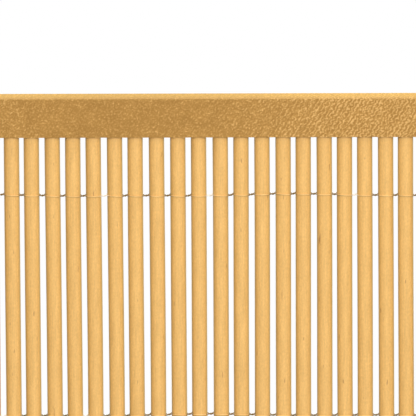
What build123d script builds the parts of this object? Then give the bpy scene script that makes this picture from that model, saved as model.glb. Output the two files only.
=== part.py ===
"""Synthetic wicker screening panel: upright plastic rods, woven nylon ties and a U-shaped top cap.

Millimetres. X runs along the panel, the front faces -Y and Z is up from the foot of the rods.
"""
import os
from math import pi, sin, sqrt, tan

from build123d import *

# Panel
PANEL_HEIGHT = 800.0
ROD_COUNT = 32

# Rods
ROD_DIAMETER = 6.8
ROD_GAP = 2.3
DRIFT = 0.35
DRIFT_PERIOD = 17.0
DRIFT_START = 14.25
JITTER = 0.16
JITTER_PERIOD = 2.6

# Top cap
CAP_HEIGHT = 17.4
CAP_WALL = 1.6
CAP_CLEARANCE = 0.2
CAP_EDGE_RADIUS = 0.4

# Woven ties
THREAD_DIAMETER = 0.45
THREAD_CLEARANCE = 0.05
THREAD_SIDES = 3
TIE_ROWS = 8
TIE_TOP_MARGIN = 44.7
TIE_BOTTOM_MARGIN = 55.3

# Sizes that follow from the ones above
ROD_RADIUS = ROD_DIAMETER / 2
ROD_PITCH = ROD_DIAMETER + ROD_GAP
ROD_LENGTH = PANEL_HEIGHT - CAP_WALL
PANEL_LENGTH = ROD_COUNT * ROD_PITCH
SLOT_DEPTH = ROD_DIAMETER + 2 * CAP_CLEARANCE
CAP_DEPTH = SLOT_DEPTH + 2 * CAP_WALL
TIE_SPACING = (PANEL_HEIGHT - TIE_TOP_MARGIN - TIE_BOTTOM_MARGIN) / (TIE_ROWS - 1)
THREAD_REACH = ROD_RADIUS + THREAD_CLEARANCE + THREAD_DIAMETER / 2
THREAD_LIFT = (THREAD_DIAMETER + THREAD_CLEARANCE) / 2
FRONT = -1
BACK = 1


def rod_x(index):
    """Place of a rod along the panel: an even pitch, a slow drift and a small jitter."""
    even = (index - (ROD_COUNT - 1) / 2) * ROD_PITCH
    drift = DRIFT * sin(2 * pi * (index - DRIFT_START) / DRIFT_PERIOD)
    jitter = JITTER * sin(2 * pi * index / JITTER_PERIOD)
    return even + drift + jitter


def make_rod(x):
    """One solid rod, standing on the ground plane and ending under the cap's web."""
    upright = Align.CENTER, Align.CENTER, Align.MIN
    return Pos(x, 0, 0) * Cylinder(ROD_RADIUS, ROD_LENGTH, align=upright)


def make_cap():
    """The U-shaped channel that sits on the rod ends, open below and cut square at both ends."""
    outer = Pos(0, PANEL_HEIGHT - CAP_HEIGHT / 2) * Rectangle(CAP_DEPTH, CAP_HEIGHT)
    top_corners = outer.vertices().group_by(Axis.Y)[-1]
    outer = fillet(top_corners, CAP_EDGE_RADIUS)
    slot_height = CAP_HEIGHT - CAP_WALL
    slot = Pos(0, ROD_LENGTH - slot_height / 2) * Rectangle(SLOT_DEPTH, slot_height)
    return extrude(Plane.YZ * (outer - slot), amount=PANEL_LENGTH / 2, both=True)


def corner_offset(spacing):
    """How far past a rod's axis the thread turns, so that its run to the next rod just clears both rods."""
    return (spacing - sqrt(spacing ** 2 - (2 * THREAD_REACH) ** 2)) / 2


def end_wrap(x, outward, side, height):
    """Points of a thread that closes round the outer side of an end rod, from the corner outwards."""
    corner = THREAD_REACH * tan(pi / 8)
    return [
        (x + outward * corner, side * THREAD_REACH, height),
        (x + outward * THREAD_REACH, side * corner, height),
        (x + outward * THREAD_REACH, -side * corner, height),
    ]


def strand_points(first_side):
    """Route of one thread at height zero: in front of and behind the rods by turns, crossing in every gap."""
    places = [rod_x(index) for index in range(ROD_COUNT)]
    points = []
    for index, x in enumerate(places):
        side = first_side if index % 2 == 0 else -first_side
        arriving = side * THREAD_LIFT
        leaving = -side * THREAD_LIFT
        if index == 0:
            points += reversed(end_wrap(x, -1, side, arriving))
        else:
            points.append((x - corner_offset(x - places[index - 1]), side * THREAD_REACH, arriving))
        if index == ROD_COUNT - 1:
            points += end_wrap(x, 1, side, leaving)
        else:
            points.append((x + corner_offset(places[index + 1] - x), side * THREAD_REACH, leaving))
    return points


def make_strand(first_side):
    """One thread of a tie row, as a three-sided cord that fits inside the round thread."""
    points = strand_points(first_side)
    route = Polyline(*points)
    section = Plane(origin=points[0], z_dir=route % 0) * RegularPolygon(THREAD_DIAMETER / 2, THREAD_SIDES)
    return sweep(section, path=route, transition=Transition.RIGHT)


def main():
    os.makedirs("parts", exist_ok=True)
    export_step(make_cap(), "parts/top_cap.step")
    for index in range(ROD_COUNT):
        export_step(make_rod(rod_x(index)), f"parts/rod_{index + 1:02d}.step")
    strand_a = make_strand(FRONT)
    strand_b = make_strand(BACK)
    for row in range(TIE_ROWS):
        height = PANEL_HEIGHT - TIE_TOP_MARGIN - row * TIE_SPACING
        export_step(Pos(0, 0, height) * strand_a, f"parts/tie_row_{row + 1}_strand_a.step")
        export_step(Pos(0, 0, height) * strand_b, f"parts/tie_row_{row + 1}_strand_b.step")


main()
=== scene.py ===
"""Looks of the synthetic wicker screening panel, in metres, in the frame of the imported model."""

from bisect import bisect
from math import cos, pi, radians, sin, sqrt
from random import Random

import bpy
from mathutils import Euler, Matrix, Vector, noise


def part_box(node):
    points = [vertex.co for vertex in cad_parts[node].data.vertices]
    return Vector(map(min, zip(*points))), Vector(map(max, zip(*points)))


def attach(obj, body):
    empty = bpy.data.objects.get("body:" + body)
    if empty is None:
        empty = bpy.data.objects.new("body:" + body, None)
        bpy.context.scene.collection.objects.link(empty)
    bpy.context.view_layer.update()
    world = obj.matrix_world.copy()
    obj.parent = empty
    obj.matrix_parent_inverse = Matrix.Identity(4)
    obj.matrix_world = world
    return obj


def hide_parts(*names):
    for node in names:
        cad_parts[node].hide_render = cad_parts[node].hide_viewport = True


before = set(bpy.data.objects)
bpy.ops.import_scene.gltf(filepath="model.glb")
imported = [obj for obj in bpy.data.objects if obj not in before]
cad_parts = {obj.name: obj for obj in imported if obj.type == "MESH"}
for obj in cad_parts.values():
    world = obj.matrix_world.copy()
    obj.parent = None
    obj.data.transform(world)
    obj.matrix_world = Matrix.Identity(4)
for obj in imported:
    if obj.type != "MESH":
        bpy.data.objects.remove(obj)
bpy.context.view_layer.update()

MM = 0.001
FRONT = -1
BACK = 1
LEFT = -1
RIGHT = 1
WHITE = (1.0, 1.0, 1.0)

# Photograph's view
FRAME_WIDTH = 182.2 * MM
CAMERA_DISTANCE = 6.0
CAMERA_ELEVATION = radians(14.8)
CAMERA_ROLL = radians(-0.14)
CAMERA_TARGET = Vector((-0.59 * MM, 0, 749.4 * MM))
SENSOR_WIDTH = 36.0
VIEW_LIMIT = 100.0

# Rods
ROD_NODES = sorted(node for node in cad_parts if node.startswith("rod_"))
ROD_COUNT = len(ROD_NODES)
ROD_SIDES = 32
ROD_SHARP_ANGLE = radians(60)
RING_SPACING = 10 * MM
CUT_EDGE = 0.25 * MM
SPREAD = 0.4
SPREAD_HEIGHT = 775 * MM
SPREAD_PERIOD = 250 * MM
BOW = 0.55 * MM
BOW_HEIGHT = 740 * MM
BOW_PERIOD = 1000 * MM
SWAY = 0.1 * MM
SWAY_PERIOD = 310 * MM
SWAY_STEP = 2.4

# Top cap
CAP_WALL = 1.6 * MM
CAP_SHARP_ANGLE = radians(50)
CORNER_RADIUS = 0.4 * MM
CORNER_STEPS = 4
GRAIN_STEP = 0.34 * MM
FRONT_STEP = 0.31 * MM
TOP_STEP = 0.8 * MM
BACK_STEP = 0.5 * MM

# Grain of the cap: heights run from 0 in a crease to 1 on a ridge
GRAIN_DEPTH = 0.3 * MM
SMOOTHEST_DEPTH = 0.6
TOP_SMOOTHNESS = 0.8
GRAIN_SLANT = radians(60)
GRAIN_GAIN = 1.1
MIDDLE_HEIGHT = 0.5
SMOOTHEST_DROP = 0.4
WRINKLE_WIDTH = 1.6 * MM
WRINKLE_LENGTH = 1.2 * MM
WRINKLE_BEND = 0.8
WRINKLE_HEIGHT = 0.42
PEBBLE_SIZE = 0.62 * MM
PEBBLE_LAYER = 7.3
PEBBLE_LOSS = 0.4
ROUGHEST_PLACE = 75 * MM
ROUGHNESS_PERIOD = 230 * MM

# Woven ties
TIE_ROWS = len([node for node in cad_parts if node.endswith("_strand_a")])
THREAD_RADIUS = 0.225 * MM
THREAD_CLEARANCE = 0.02 * MM
THREAD_ORDER = 3
THREAD_SMOOTHNESS = 3
THREAD_ROUNDNESS = 2
WRAP_STEP = radians(30)
WRAP_POINTS = 6
TWIST = 1.4
CREST = 0.6 * MM
GAP_RISE = 0.25 * MM
GAP_RISE_CHANGE = 0.2 * MM
RISE_ROD_STEP = 2.3
RISE_ROW_STEP = 1.1
WOBBLE = 0.35 * MM
WOBBLE_LENGTH = 22 * MM
WOBBLE_PLACE = 36 * MM
WOBBLE_STEP = 1.7
CLEAR_SEED = 7991
CLEAR_SHARE = 0.15

# Shading of any surface
NOISE_LOW = 0.3
NOISE_HIGH = 0.7
CREVICE_RAYS = 8
CREVICE_LIMITS = (0.75, 0.3)

# Finish of the rods: noise in features per metre along X, Y and Z, and linear colours
ROD_STREAKS = (1500, 1500, 110)
ROD_MOTTLING = (330, 330, 60)
ROD_GRAIN = (1500, 1500, 900)
ROD_FLECKS = (1000, 1000, 160)
FLECK_LIMITS = (0.74, 0.8)
FLANK_LIMITS = (0.7, 1.0)
SHADOW_BELOW_CAP = 3.5 * MM
SHADOW_INSIDE_CAP = 2 * MM
CREVICE_REACH = 1.0 * MM
DARK_STRAW = (0.87, 0.51, 0.16)
PALE_STRAW = (0.95, 0.565, 0.182)
STREAK_SHADE = (0.88, 0.87, 0.84)
FLECK_BROWN = (0.5, 0.25, 0.075)
# Painted shade: the rods' flanks, which face the neighbouring rods, are painted darker
FLANK_PAINTED_SHADE = (0.7, 0.49, 0.165)
# Painted shadow on the rods just below the cap
CAP_PAINTED_SHADOW = (0.61, 0.36, 0.115)
# Painted shade on the rods close under the ties and the cap
CREVICE_PAINTED_SHADE = (0.5, 0.29, 0.085)

# Finish of the cap
CAP_MOTTLING = (160, 160, 160)
CAP_PORES = (1600, 1600, 1600)
# Where the painted light on the cap's top starts, before and behind the front face
TOP_LIGHT_BEFORE_FRONT = 2 * MM
TOP_LIGHT_BEHIND_FRONT = 7 * MM
# Painted shade in the creases of the cap's grain and a painted highlight on its ridges, round its own brown
CREASE_PAINTED_SHADE = (0.43, 0.227, 0.06)
FACE_BROWN = (0.54, 0.297, 0.086)
RIDGE_PAINTED_HIGHLIGHT = (0.8, 0.48, 0.175)
CLOUD_SHADE = (0.9, 0.89, 0.87)
# Painted light on the back of the cap's top, a little darker in its creases than on its ridges
TOP_CREASE_PAINTED_LIGHT = (0.52, 0.308, 0.078)
TOP_RIDGE_PAINTED_LIGHT = (0.78, 0.465, 0.122)

# Finish of the threads
THREAD_PATCHES = (90, 90, 90)
PATCH_LIMITS = (0.3, 0.55)
ON_ROD_LIMITS = (1.4 * MM, 3.0 * MM)
UNDERSIDE_LIMITS = (0.1, -0.7)
# Painted shade: the dark brown of the twisted pair in a gap
TWIST_PAINTED_SHADE = (0.24, 0.145, 0.03)
CLEAR_NYLON = (0.92, 0.88, 0.8)
# A thread on a rod: the rod's straw colour seen through the nylon, made paler as a painted highlight
RESTING_PAINTED_HIGHLIGHT = (0.95, 0.63, 0.25)
# Painted shade on a thread's underside where it lies on a rod
UNDERSIDE_PAINTED_SHADE = (0.4, 0.235, 0.065)

# Floor and light
FLOOR_SIZE = 14.0
FLOOR_LIT = (0.45, 0.45, 0.45)
FLOOR_SEEN = (0.85, 0.85, 0.85)
FLOOR_FADE = (-0.7, 1.7)
AMBIENT_STRENGTH = 0.05
LIGHT_AIM = (0, 0, 0.6)


def middle(node):
    """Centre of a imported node's box."""
    low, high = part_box(node)
    return (low + high) / 2


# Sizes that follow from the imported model
ROD_PLACES = [middle(node).x for node in ROD_NODES]
ROD_LOW, ROD_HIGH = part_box(ROD_NODES[0])
ROD_RADIUS = (ROD_HIGH.y - ROD_LOW.y) / 2
CAP_LOW, CAP_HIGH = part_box("top_cap")
ROD_PITCH = (CAP_HIGH.x - CAP_LOW.x) / ROD_COUNT
THREAD_LIFT = THREAD_RADIUS + THREAD_CLEARANCE / 2
THREAD_REACH = ROD_RADIUS + THREAD_CLEARANCE + THREAD_RADIUS
WRAP_RADIUS = THREAD_REACH / cos(WRAP_STEP / 2)


def add_piece(name, mesh, material, node):
    """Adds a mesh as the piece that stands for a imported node."""
    piece = bpy.data.objects.new(name, mesh)
    bpy.context.collection.objects.link(piece)
    mesh.materials.append(material)
    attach(piece, "root")
    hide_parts(node)


def tube_faces(rings, sides):
    """Quads that join each ring of vertices to the next, and a face over each end."""
    faces = []
    for ring in range(rings - 1):
        for side in range(sides):
            after = (side + 1) % sides
            low = ring * sides
            high = low + sides
            faces.append((low + side, low + after, high + after, high + side))
    last = (rings - 1) * sides
    faces.append(tuple(reversed(range(sides))))
    faces.append(tuple(range(last, last + sides)))
    return faces


def smooth_mesh(name, vertices, faces, sharp_angle):
    """A smooth-shaded mesh whose edges stay sharp past an angle."""
    mesh = bpy.data.meshes.new(name)
    mesh.from_pydata(vertices, [], faces)
    mesh.shade_smooth()
    mesh.set_sharp_from_angle(angle=sharp_angle)
    return mesh


def keep_values(mesh, name, values):
    """Stores a value at each vertex, for the material to read by name."""
    mesh.attributes.new(name, "FLOAT", "POINT").data.foreach_set("value", values)


class Shader:
    """A material's nodes, with a principled surface and short ways to add to it."""

    def __init__(self, name):
        self.material = bpy.data.materials.new(name)
        self.material.use_nodes = True
        self.nodes = self.material.node_tree.nodes
        self.links = self.material.node_tree.links
        self.surface = self.nodes["Principled BSDF"]
        self.place = self.add("ShaderNodeTexCoord").outputs["Object"]

    def add(self, kind, **settings):
        """A new node with these settings."""
        node = self.nodes.new(kind)
        for name, value in settings.items():
            setattr(node, name, value)
        return node

    def join(self, output, node, socket):
        """Links an output to a node's input, given by name or by number."""
        self.links.new(output, node.inputs[socket])

    def attribute(self, name):
        """The value that the mesh stores under this name."""
        return self.add("ShaderNodeAttribute", attribute_name=name).outputs["Fac"]

    def normal(self):
        """The way that the surface faces."""
        return self.add("ShaderNodeNewGeometry").outputs["Normal"]

    def split(self, vector):
        """A vector's X, Y and Z, by name."""
        node = self.add("ShaderNodeSeparateXYZ")
        self.join(vector, node, "Vector")
        return node.outputs

    def math(self, operation, *values):
        """The result of an operation on one or two values."""
        node = self.add("ShaderNodeMath", operation=operation)
        for socket, value in enumerate(values):
            self.join(value, node, socket)
        return node.outputs["Value"]

    def noise(self, per_metre, detail=3.0):
        """Noise over the piece, with so many features per metre along X, Y and Z."""
        mapping = self.add("ShaderNodeMapping")
        mapping.inputs["Scale"].default_value = per_metre
        self.join(self.place, mapping, "Vector")
        texture = self.add("ShaderNodeTexNoise")
        texture.inputs["Scale"].default_value = 1.0
        texture.inputs["Detail"].default_value = detail
        self.join(mapping.outputs["Vector"], texture, "Vector")
        return texture.outputs["Fac"]

    def ramp(self, value, *stops):
        """Colours set along a value from 0 to 1."""
        node = self.add("ShaderNodeValToRGB")
        band = node.color_ramp
        while len(band.elements) < len(stops):
            band.elements.new(0.5)
        for element, (position, colour) in zip(band.elements, stops):
            element.position = position
            element.color = (*colour, 1.0)
        self.join(value, node, "Fac")
        return node.outputs["Color"]

    def vary(self, value, low_colour, high_colour):
        """A colour that goes from one to the other over the usual range of a noise."""
        return self.ramp(value, (NOISE_LOW, low_colour), (NOISE_HIGH, high_colour))

    def mask(self, value, start, end):
        """0 up to start, 1 from end on and smooth between."""
        node = self.add("ShaderNodeMapRange", interpolation_type="SMOOTHSTEP")
        node.inputs["From Min"].default_value = start
        node.inputs["From Max"].default_value = end
        self.join(value, node, "Value")
        return node.outputs["Result"]

    def blend(self, share, below, above, blend_type="MIX"):
        """One colour over another by a share, where each is an output or a constant."""
        node = self.add("ShaderNodeMix", data_type="RGBA", blend_type=blend_type)
        colours = [socket for socket in node.inputs if socket.type == "RGBA"]
        for socket, value in zip((node.inputs[0], *colours), (share, below, above)):
            if isinstance(value, bpy.types.NodeSocket):
                self.links.new(value, socket)
            elif isinstance(value, tuple):
                socket.default_value = (*value, 1.0)
            else:
                socket.default_value = value
        return [socket for socket in node.outputs if socket.type == "RGBA"][0]

    def crevice(self, reach):
        """1 close under another piece, 0 where nothing is within reach above."""
        upward = self.add("ShaderNodeVectorMath", operation="ADD")
        upward.inputs[1].default_value = (0.0, 0.0, 1.0)
        self.join(self.normal(), upward, 0)
        node = self.add("ShaderNodeAmbientOcclusion", samples=CREVICE_RAYS)
        node.inputs["Distance"].default_value = reach
        self.join(upward.outputs["Vector"], node, "Normal")
        return self.mask(node.outputs["AO"], *CREVICE_LIMITS)

    def bump(self, height, strength, distance):
        """Fine relief on the surface."""
        node = self.add("ShaderNodeBump")
        node.inputs["Strength"].default_value = strength
        node.inputs["Distance"].default_value = distance
        self.join(height, node, "Height")
        self.join(node.outputs["Normal"], self.surface, "Normal")

    def finish(self, colour, roughness, specular):
        """The material, once its colour and gloss are set."""
        self.join(colour, self.surface, "Base Color")
        self.surface.inputs["Roughness"].default_value = roughness
        self.surface.inputs["Specular IOR Level"].default_value = specular
        return self.material


def rod_material():
    """Satin plastic: streaked, mottled and flecked, with painted shade on its flanks and close under the
    cap and ties, and a painted shadow below the cap.
    """
    shader = Shader("rod_plastic")
    grain = shader.noise(ROD_GRAIN, detail=2.0)
    straw = shader.vary(shader.noise(ROD_MOTTLING, detail=2.0), DARK_STRAW, PALE_STRAW)
    lines = shader.vary(shader.noise(ROD_STREAKS), STREAK_SHADE, WHITE)
    specks = shader.vary(grain, STREAK_SHADE, WHITE)
    streaked = shader.blend(1.0, straw, lines, "MULTIPLY")
    grainy = shader.blend(1.0, streaked, specks, "MULTIPLY")
    flecks = shader.mask(shader.noise(ROD_FLECKS, detail=1.0), *FLECK_LIMITS)
    flecked = shader.blend(flecks, grainy, FLECK_BROWN)
    sideways = shader.math("ABSOLUTE", shader.split(shader.normal())["X"])
    # Painted shade: the rods are painted darker on their flanks, where they face the neighbouring rods
    flank_shaded = shader.blend(shader.mask(sideways, *FLANK_LIMITS), flecked, FLANK_PAINTED_SHADE)
    height = shader.split(shader.place)["Z"]
    # Painted shadow: the rods are painted darker just below the cap's lower edge, where the cap shades them
    under_cap = shader.mask(height, CAP_LOW.z - SHADOW_BELOW_CAP, CAP_LOW.z + SHADOW_INSIDE_CAP)
    cap_shadowed = shader.blend(under_cap, flank_shaded, CAP_PAINTED_SHADOW)
    # Painted shade: the rods are painted darker close under the ties and the cap, where little light
    # reaches
    crevice_shaded = shader.blend(shader.crevice(CREVICE_REACH), cap_shadowed, CREVICE_PAINTED_SHADE)
    shader.bump(grain, strength=0.15, distance=0.1 * MM)
    return shader.finish(crevice_shaded, roughness=0.45, specular=0.4)


def cap_material():
    """Darker matt plastic: mottled, with painted light on the back of its top, a painted highlight on the
    ridges of its grain and painted shade in its creases.
    """
    shader = Shader("cap_plastic")
    relief = shader.attribute("grain")
    # Painted shade and highlight: the grain's creases are painted darker and its ridges paler
    grain_shade_and_highlight = shader.ramp(relief, (0.0, CREASE_PAINTED_SHADE), (MIDDLE_HEIGHT, FACE_BROWN), (1.0, RIDGE_PAINTED_HIGHLIGHT))
    clouds = shader.vary(shader.noise(CAP_MOTTLING), CLOUD_SHADE, WHITE)
    mottled = shader.blend(1.0, grain_shade_and_highlight, clouds, "MULTIPLY")
    place = shader.split(shader.place)
    # Painted light: the cap's top is painted paler from its front edge backwards, as light falling on it
    backward = shader.mask(place["Y"], CAP_LOW.y - TOP_LIGHT_BEFORE_FRONT, CAP_LOW.y + TOP_LIGHT_BEHIND_FRONT)
    upward = shader.mask(place["Z"], CAP_HIGH.z - 2 * CORNER_RADIUS, CAP_HIGH.z - CORNER_RADIUS)
    sunlit = shader.ramp(relief, (0.0, TOP_CREASE_PAINTED_LIGHT), (1.0, TOP_RIDGE_PAINTED_LIGHT))
    with_top_painted_light = shader.blend(shader.math("MULTIPLY", backward, upward), mottled, sunlit)
    shader.bump(shader.noise(CAP_PORES), strength=0.4, distance=0.08 * MM)
    return shader.finish(with_top_painted_light, roughness=0.7, specular=0.03)


def thread_material():
    """Glossy nylon: on a rod the rod's straw colour made paler as a painted highlight, with patches of
    painted shade on its underside; where the pair is twisted in a gap, painted dark brown as shade, except
    in the few gaps where it is clear.
    """
    shader = Shader("nylon_thread")
    depth = shader.math("ABSOLUTE", shader.split(shader.place)["Y"])
    on_rod = shader.mask(depth, *ON_ROD_LIMITS)
    # Painted shade: on a rod, a thread's underside is painted darker in patches
    downward = shader.mask(shader.split(shader.normal())["Z"], *UNDERSIDE_LIMITS)
    patches = shader.mask(shader.noise(THREAD_PATCHES, detail=1.0), *PATCH_LIMITS)
    painted_underside_shade = shader.math("MULTIPLY", downward, patches)
    # Painted shade: where the pair is twisted in a gap, the clear nylon is painted dark brown for the
    # shaded rod sides seen in it, except in the few gaps where it is clear
    twisted = shader.blend(shader.attribute("clear"), TWIST_PAINTED_SHADE, CLEAR_NYLON)
    # Painted highlight: on a rod, the nylon is painted a paler straw than the rod
    resting = shader.blend(painted_underside_shade, RESTING_PAINTED_HIGHLIGHT, UNDERSIDE_PAINTED_SHADE)
    colour = shader.blend(on_rod, twisted, resting)
    return shader.finish(colour, roughness=0.3, specular=0.15)


def rod_x(index, height):
    """Where a rod's axis runs: its packed place, with a slight spread, bow and sway along its length."""
    even = (index - (ROD_COUNT - 1) / 2) * ROD_PITCH
    spread = 1 + SPREAD * cos(2 * pi * (height - SPREAD_HEIGHT) / SPREAD_PERIOD)
    bow = -BOW * sin(2 * pi * (height - BOW_HEIGHT) / BOW_PERIOD)
    sway = SWAY * sin(2 * pi * height / SWAY_PERIOD + SWAY_STEP * index)
    return even + (ROD_PLACES[index] - even) * spread + bow + sway


def rod_rings():
    """Height and radius of each ring up a rod, with both cut edges eased."""
    low = ROD_LOW.z
    high = ROD_HIGH.z
    eased = CUT_EDGE * (1 - sqrt(0.5))
    cut_end = [(0.0, CUT_EDGE), (eased, eased), (CUT_EDGE, 0.0)]
    steps = round((high - low) / RING_SPACING)
    rings = [(low + inset, ROD_RADIUS - narrowing) for inset, narrowing in cut_end]
    rings += [(low + (high - low) * step / steps, ROD_RADIUS) for step in range(1, steps)]
    rings += [(high - inset, ROD_RADIUS - narrowing) for inset, narrowing in reversed(cut_end)]
    return rings


def make_rods(material):
    """Each rod as a round bar that follows its slightly bent axis."""
    rings = rod_rings()
    turns = [2 * pi * side / ROD_SIDES for side in range(ROD_SIDES)]
    faces = tube_faces(len(rings), ROD_SIDES)
    for index, node in enumerate(ROD_NODES):
        vertices = []
        for height, radius in rings:
            x = rod_x(index, height)
            vertices += [(x + radius * cos(turn), radius * sin(turn), height) for turn in turns]
        mesh = smooth_mesh(f"wicker_{node}", vertices, faces, ROD_SHARP_ANGLE)
        add_piece(f"wicker_{node}", mesh, material, node)


def straight(start, end, step):
    """Points from start up to, but without, end."""
    count = max(1, round((end - start).length / step))
    return [start.lerp(end, index / count) for index in range(count)]


def rounded_corner(centre, start_angle):
    """Points along a rounded corner that turns clockwise by a right angle, without its last point."""
    points = []
    for index in range(CORNER_STEPS):
        angle = start_angle - pi / 2 * index / CORNER_STEPS
        points.append(centre + CORNER_RADIUS * Vector((cos(angle), sin(angle))))
    return points


def cap_outline():
    """The channel's outline in Y and Z: outer points, from the front foot over the top, and inner ones."""
    front, back = CAP_LOW.y, CAP_HIGH.y
    foot, top = CAP_LOW.z, CAP_HIGH.z
    shoulder = top - CORNER_RADIUS
    outer = straight(Vector((front, foot)), Vector((front, shoulder)), FRONT_STEP)
    outer += rounded_corner(Vector((front + CORNER_RADIUS, shoulder)), pi)
    outer += straight(Vector((front + CORNER_RADIUS, top)), Vector((back - CORNER_RADIUS, top)), TOP_STEP)
    outer += rounded_corner(Vector((back - CORNER_RADIUS, shoulder)), pi / 2)
    outer += straight(Vector((back, shoulder)), Vector((back, foot)), BACK_STEP)
    outer.append(Vector((back, foot)))
    inner = [
        Vector((back - CAP_WALL, foot)),
        Vector((back - CAP_WALL, top - CAP_WALL)),
        Vector((front + CAP_WALL, top - CAP_WALL)),
        Vector((front + CAP_WALL, foot)),
    ]
    return outer, inner


def lengths_along(points):
    """How far along its line each point lies."""
    along = [0.0]
    for before, after in zip(points, points[1:]):
        along.append(along[-1] + (after - before).length)
    return along


def inward_directions(points):
    """The way into the wall at each point of the outer line."""
    inward = []
    for before, after in zip([points[0]] + points, points[1:] + [points[-1]]):
        direction = (after - before).normalized()
        inward.append(Vector((direction.y, -direction.x)))
    return inward


def grain_share(x):
    """How rough the cap is along its length, from 0 where it is smoothest to 1 where it is roughest."""
    return 0.5 + 0.5 * cos(2 * pi * (x - ROUGHEST_PLACE) / ROUGHNESS_PERIOD)


def grain_height(x, along, share):
    """Height of the leather-like grain: slanting wrinkles where it is rough, and pebbles everywhere."""
    across = along * cos(GRAIN_SLANT) - x * sin(GRAIN_SLANT)
    lengthwise = x * cos(GRAIN_SLANT) + along * sin(GRAIN_SLANT)
    bend = WRINKLE_BEND * noise.noise((across / WRINKLE_WIDTH, lengthwise / WRINKLE_LENGTH, 0))
    wrinkles = WRINKLE_HEIGHT * sin(2 * pi * (across / WRINKLE_WIDTH + bend))
    pebbles = noise.noise((x / PEBBLE_SIZE, along / PEBBLE_SIZE, PEBBLE_LAYER))
    rise = share * wrinkles + (1 - PEBBLE_LOSS * share) * pebbles
    height = MIDDLE_HEIGHT - SMOOTHEST_DROP * (1 - share) + GRAIN_GAIN * rise
    return min(1.0, max(0.0, height))


def make_cap(material):
    """The top channel, its outer faces pressed with a shallow grain."""
    outer, inner = cap_outline()
    along = lengths_along(outer)
    inward = inward_directions(outer)
    columns = round((CAP_HIGH.x - CAP_LOW.x) / GRAIN_STEP)
    vertices = []
    heights = []
    for column in range(columns + 1):
        x = CAP_LOW.x + (CAP_HIGH.x - CAP_LOW.x) * column / columns
        share = grain_share(x)
        depth = GRAIN_DEPTH * (SMOOTHEST_DEPTH + (1 - SMOOTHEST_DEPTH) * share)
        for index, point in enumerate(outer):
            height = grain_height(x, along[index], share)
            smoothness = TOP_SMOOTHNESS * abs(inward[index].y)
            pressed = point + inward[index] * depth * (1 - smoothness) * (1 - height)
            vertices.append((x, pressed.x, pressed.y))
            heights.append(height)
        for point in inner:
            vertices.append((x, point.x, point.y))
            heights.append(MIDDLE_HEIGHT)
    faces = tube_faces(columns + 1, len(outer) + len(inner))
    mesh = smooth_mesh("grained_cap", vertices, faces, CAP_SHARP_ANGLE)
    keep_values(mesh, "grain", heights)
    add_piece("grained_cap", mesh, material, "top_cap")


def wobble(row, x):
    """How far a tie row strays up or down along the panel."""
    turn = (x - WOBBLE_PLACE) / WOBBLE_LENGTH + WOBBLE_STEP * (row - 1)
    return WOBBLE * (cos(turn) + cos(2 * turn) / 2)


def end_point(x, outward, side, level):
    """Where a thread ends, at the outer side of an end rod."""
    past_middle = -side * WRAP_RADIUS * sin(WRAP_STEP / 2)
    return (x + outward * THREAD_REACH, past_middle, level - outward * side * THREAD_LIFT)


def wrap_points(x, side, level, rise):
    """Half a turn round one side of a rod, from left to right, arched over its middle."""
    points = []
    for step in range(WRAP_POINTS):
        angle = (step + 0.5) * WRAP_STEP
        above = rise * (0.5 - step / (WRAP_POINTS - 1)) + CREST * sin(angle)
        points.append((x - WRAP_RADIUS * cos(angle), side * WRAP_RADIUS * sin(angle), level + above))
    return points


def gap_points(start, end, side, row, height, rise):
    """The way through a gap, where the thread goes half round its partner to the other side."""
    gap = end - start
    level = height + wobble(row, start + gap / 2)
    swing = side * TWIST * THREAD_LIFT
    return [
        (start + gap / 4, swing, level - rise / 4),
        (start + gap / 2, 0, level - swing),
        (start + gap * 3 / 4, -swing, level + rise / 4),
    ]


def strand_route(row, height, first_side):
    """Control points of one thread, in front of and behind the rods by turns and twisted in the gaps."""
    places = [rod_x(index, height) for index in range(ROD_COUNT)]
    points = []
    for index, x in enumerate(places):
        side = first_side if index % 2 == 0 else -first_side
        level = height + wobble(row, x)
        rise = GAP_RISE + GAP_RISE_CHANGE * sin(RISE_ROD_STEP * index + RISE_ROW_STEP * row)
        if index == 0:
            points.append(end_point(x, LEFT, side, level))
        points += wrap_points(x, side, level, rise)
        if index == ROD_COUNT - 1:
            points.append(end_point(x, RIGHT, side, level))
        else:
            gap_end = places[index + 1] - THREAD_REACH
            points += gap_points(x + THREAD_REACH, gap_end, side, row, height, rise)
    return points


def thread_mesh(name, points):
    """A round thread along a smooth curve with these control points."""
    curve = bpy.data.curves.new(name, "CURVE")
    curve.dimensions = "3D"
    spline = curve.splines.new("NURBS")
    spline.points.add(len(points) - 1)
    for control, point in zip(spline.points, points):
        control.co = (*point, 1.0)
    spline.order_u = THREAD_ORDER
    spline.use_endpoint_u = True
    spline.resolution_u = THREAD_SMOOTHNESS
    curve.bevel_depth = THREAD_RADIUS
    curve.bevel_resolution = THREAD_ROUNDNESS
    curve.use_fill_caps = True
    holder = bpy.data.objects.new(name, curve)
    mesh = bpy.data.meshes.new_from_object(holder)
    bpy.data.objects.remove(holder)
    bpy.data.curves.remove(curve)
    mesh.shade_smooth()
    return mesh


def make_ties(material):
    """Two threads to each tie row, on opposite sides of every rod, and clear in a few of the gaps."""
    chance = Random(CLEAR_SEED)
    for row in range(1, TIE_ROWS + 1):
        clear = [float(chance.random() < CLEAR_SHARE) for _ in range(ROD_COUNT - 1)]
        for letter, first_side in (("a", FRONT), ("b", BACK)):
            node = f"tie_row_{row}_strand_{letter}"
            points = strand_route(row, middle(node).z, first_side)
            mesh = thread_mesh(f"nylon_{node}", points)
            gaps = [bisect(ROD_PLACES[1:-1], vertex.co.x) for vertex in mesh.vertices]
            keep_values(mesh, "clear", [clear[gap] for gap in gaps])
            add_piece(f"nylon_{node}", mesh, material, node)


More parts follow.
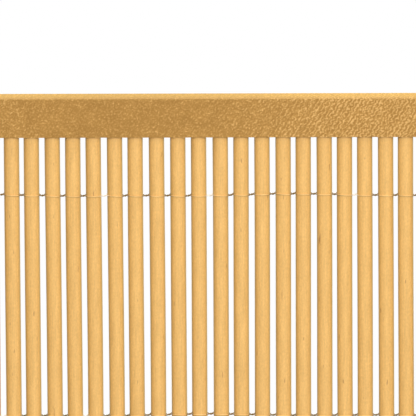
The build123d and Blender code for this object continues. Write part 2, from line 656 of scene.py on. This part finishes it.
def seen_directly(tree):
    """1 for rays that come straight from the camera, a glossy surface or through something clear."""
    path = tree.nodes.new("ShaderNodeLightPath")
    seen = path.outputs["Is Camera Ray"]
    for name in ("Is Glossy Ray", "Is Transmission Ray"):
        either = tree.nodes.new("ShaderNodeMath")
        either.operation = "MAXIMUM"
        tree.links.new(seen, either.inputs[0])
        tree.links.new(path.outputs[name], either.inputs[1])
        seen = either.outputs["Value"]
    return seen


def make_floor():
    """A pale floor that keeps the panel's shadow and goes to plain white further off."""
    bpy.ops.mesh.primitive_plane_add(size=FLOOR_SIZE)
    floor = bpy.context.object
    floor.name = "floor"
    shader = Shader("pale_floor")
    seen = seen_directly(shader.material.node_tree)
    shader.finish(shader.blend(seen, FLOOR_LIT, FLOOR_SEEN), roughness=0.9, specular=0.1)
    distance = shader.add("ShaderNodeVectorMath", operation="LENGTH")
    shader.join(shader.place, distance, 0)
    far = shader.mask(distance.outputs["Value"], *FLOOR_FADE)
    white = shader.add("ShaderNodeEmission")
    mix = shader.add("ShaderNodeMixShader")
    shader.join(shader.math("MULTIPLY", far, seen), mix, "Fac")
    shader.join(shader.surface.outputs["BSDF"], mix, 1)
    shader.join(white.outputs["Emission"], mix, 2)
    shader.join(mix.outputs["Shader"], shader.nodes["Material Output"], "Surface")
    floor.data.materials.append(shader.material)


def make_world():
    """A soft even light from all round that is plain white where it is seen."""
    world = bpy.data.worlds.new("studio")
    bpy.context.scene.world = world
    world.use_nodes = True
    nodes = world.node_tree.nodes
    links = world.node_tree.links
    ambient = nodes["Background"]
    ambient.inputs["Color"].default_value = (*WHITE, 1.0)
    ambient.inputs["Strength"].default_value = AMBIENT_STRENGTH
    white = nodes.new("ShaderNodeBackground")
    white.inputs["Color"].default_value = (*WHITE, 1.0)
    mix = nodes.new("ShaderNodeMixShader")
    links.new(seen_directly(world.node_tree), mix.inputs["Fac"])
    links.new(ambient.outputs["Background"], mix.inputs[1])
    links.new(white.outputs["Background"], mix.inputs[2])
    links.new(mix.outputs["Shader"], nodes["World Output"].inputs["Surface"])


def add_light(name, place, aim, size, energy):
    """A square soft light."""
    data = bpy.data.lights.new(name, "AREA")
    data.size = size
    data.energy = energy
    light = bpy.data.objects.new(name, data)
    light.location = place
    light.rotation_euler = (Vector(aim) - Vector(place)).to_track_quat("-Z", "Y").to_euler()
    bpy.context.collection.objects.link(light)


def make_lights():
    """A soft key light in front, a little to the right, a faint one overhead and one high up behind."""
    add_light("key", place=(0.45, -2.7, 1.75), aim=LIGHT_AIM, size=0.9, energy=79)
    add_light("overhead", place=(0, -0.05, 1.6), aim=(0, -0.05, 0.6), size=0.8, energy=3.6)
    add_light("behind", place=(-0.25, 1.9, 2.3), aim=LIGHT_AIM, size=0.9, energy=58)


def make_camera():
    """A long lens at the photograph's angle."""
    data = bpy.data.cameras.new("photo_view")
    data.sensor_width = SENSOR_WIDTH
    data.lens = SENSOR_WIDTH * CAMERA_DISTANCE / FRAME_WIDTH
    data.clip_end = VIEW_LIMIT
    camera = bpy.data.objects.new("photo_view", data)
    offset = Vector((0, -cos(CAMERA_ELEVATION), sin(CAMERA_ELEVATION))) * CAMERA_DISTANCE
    tilt = Euler((pi / 2 - CAMERA_ELEVATION, 0, 0)).to_matrix()
    roll = Matrix.Rotation(CAMERA_ROLL, 3, "Z")
    camera.matrix_world = Matrix.Translation(CAMERA_TARGET + offset) @ (tilt @ roll).to_4x4()
    bpy.context.collection.objects.link(camera)
    bpy.context.scene.camera = camera


def main():
    """Makes the camera, the pieces in their finishes, and the studio round them."""
    make_camera()
    make_cap(cap_material())
    make_rods(rod_material())
    make_ties(thread_material())
    make_floor()
    make_world()
    make_lights()
    bpy.context.scene.view_settings.view_transform = "Standard"


main()
